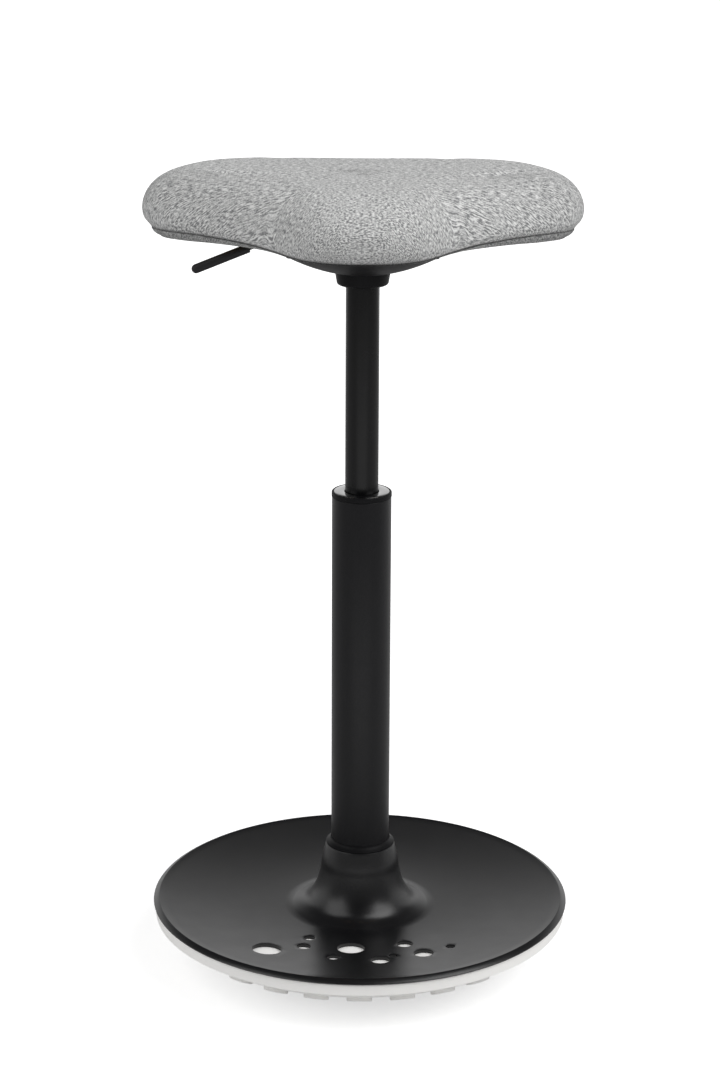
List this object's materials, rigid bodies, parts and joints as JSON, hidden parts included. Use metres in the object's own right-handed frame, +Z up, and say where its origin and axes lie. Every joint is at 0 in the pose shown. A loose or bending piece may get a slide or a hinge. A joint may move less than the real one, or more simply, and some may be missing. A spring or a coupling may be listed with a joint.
{
  "type": "wobble stool",
  "caption": "Height-adjustable wobble stool with an upholstered saddle seat, a gas-lift column and a weighted rocking base with a nubbed sole.",
  "frame": {"origin": "on the floor under the column, at the centre of the rocking sole", "axes": "+Z up along the column; the nose of the saddle seat points to -Y and its wings lie along X; the release lever comes out towards -X"},
  "size_m": [0.367, 0.36, 0.6856],
  "materials": {
    "dish_plastic": "satin black moulded",
    "sole_elastomer": "matt off-white moulded elastomer",
    "tray_plastic": "satin off-white moulded",
    "ballast_iron": "rough sand-cast",
    "powder_steel": "fine-textured black powder coat",
    "satin_steel": "satin black coat",
    "bright_steel": "ground bright",
    "zinc_steel": "zinc plated",
    "black_plastic": "satin black moulded",
    "natural_plastic": "natural unpainted moulded",
    "black_rubber": "matt",
    "pan_plywood": "raw birch plywood",
    "seat_foam": "open-cell cut foam",
    "melange_fabric": "light grey melange knit"
  },
  "bodies": {
    "base": {"base_dish": "dish_plastic", "foot_ring": "black_plastic", "rocker_sole": "sole_elastomer", "rocker_tray": "tray_plastic", "ballast_casting": "ballast_iron", "sole_screw_1": "zinc_steel", "sole_screw_2": "zinc_steel", "sole_screw_3": "zinc_steel", "sole_screw_4": "zinc_steel", "ballast_screw_1": "zinc_steel", "ballast_screw_2": "zinc_steel", "ballast_screw_3": "zinc_steel", "ballast_screw_4": "zinc_steel", "stand_tube": "powder_steel", "tube_cap": "black_plastic", "guide_sleeve": "natural_plastic", "floor_washer": "zinc_steel", "bearing_race_lower": "bright_steel"},
    "piston": {"bearing_cage": "bright_steel", "bearing_race_upper": "bright_steel", "bump_stop": "black_rubber", "piston_rod": "bright_steel", "piston_head": "natural_plastic", "retaining_clip": "zinc_steel"},
    "seat": {"gas_cylinder": "satin_steel", "rod_guide": "natural_plastic", "collar_cup": "black_plastic", "taper_hub": "zinc_steel", "mechanism_plate": "powder_steel", "seat_bolt_1": "zinc_steel", "seat_bolt_2": "zinc_steel", "seat_bolt_3": "zinc_steel", "seat_bolt_4": "zinc_steel", "tee_nut_1": "zinc_steel", "tee_nut_2": "zinc_steel", "tee_nut_3": "zinc_steel", "tee_nut_4": "zinc_steel", "bowl_cover": "black_plastic", "cover_screw_1": "zinc_steel", "cover_screw_2": "zinc_steel", "cover_screw_3": "zinc_steel", "seat_pan": "pan_plywood", "foam_pad": "seat_foam", "seat_cover": "melange_fabric", "lever_bracket": "powder_steel", "pivot_pin": "bright_steel"},
    "lever": {"release_lever": "satin_steel", "lever_sleeve": "black_rubber"},
    "pin": {"release_pin": "bright_steel"}
  },
  "joints": [
    {"name": "seat_swivel", "type": "hinge", "parent": "base", "child": "piston", "pos_m": [0, 0, 0.045], "axis": [0, 0, 1], "continuous": true},
    {"name": "column_lift", "type": "slide", "parent": "piston", "child": "seat", "axis": [0, 0, 1], "range_m": [-0.165, 0.035]},
    {"name": "lever_lift", "type": "hinge", "parent": "seat", "child": "lever", "pos_m": [-0.02791, 0.0022, 0.63], "axis": [0.0785, 0.9969, 0], "range_deg": [0, 6], "stiffness_Nm_per_rad": 2},
    {"name": "pin_press", "type": "slide", "parent": "seat", "child": "pin", "axis": [0, 0, -1], "range_m": [0, 0.003]}
  ],
  "couplings": [
    {"joint": "pin_press", "follows": "lever_lift", "m_per_rad": 0.028}
  ]
}
